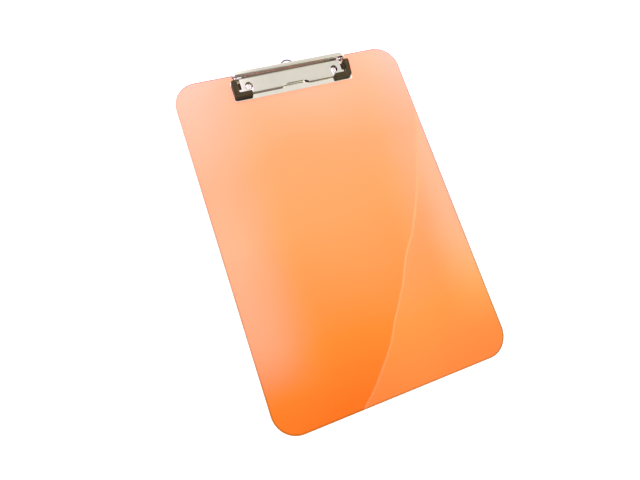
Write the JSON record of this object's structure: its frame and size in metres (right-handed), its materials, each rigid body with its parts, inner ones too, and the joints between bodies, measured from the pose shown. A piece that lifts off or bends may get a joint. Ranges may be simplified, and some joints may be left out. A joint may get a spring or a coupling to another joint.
{
  "type": "clipboard",
  "caption": "Translucent orange clipboard with a low-profile spring clip, black rubber corner pads and a pull-out hanging loop.",
  "frame": {"origin": "centre of the board's flat back face", "axes": "+X to the right across the board, +Y along the board towards the clip, +Z out of the front face"},
  "size_m": [0.22, 0.3206, 0.0115],
  "materials": {
    "board_plastic": "glossy translucent orange",
    "nickel_plate": "bright nickel plate",
    "rod_steel": "plain steel",
    "spring_steel": "drawn wire",
    "pad_rubber": "satin black rubber"
  },
  "bodies": {
    "board": {"board": "board_plastic", "clip_base": "nickel_plate", "hinge_rod": "rod_steel", "rivet_left": "nickel_plate", "rivet_right": "nickel_plate", "rivet_washer_left": "nickel_plate", "rivet_washer_right": "nickel_plate", "torsion_spring_left": "spring_steel", "torsion_spring_right": "spring_steel"},
    "jaw": {"clamp_jaw": "nickel_plate", "corner_pad_left": "pad_rubber", "corner_pad_right": "pad_rubber"},
    "loop": {"hanger_loop": "nickel_plate"}
  },
  "joints": [
    {"name": "jaw_hinge", "type": "hinge", "parent": "board", "child": "jaw", "pos_m": [0, 0.1535, 0.0069], "axis": [-1, 0, 0], "range_deg": [0, 35], "stiffness_Nm_per_rad": 0.12, "springref_deg": -68.75, "deforming": ["torsion_spring_left", "torsion_spring_right"]},
    {"name": "loop_slide", "type": "slide", "parent": "board", "child": "loop", "axis": [0, 1, 0], "range_m": [0, 0.011]}
  ]
}
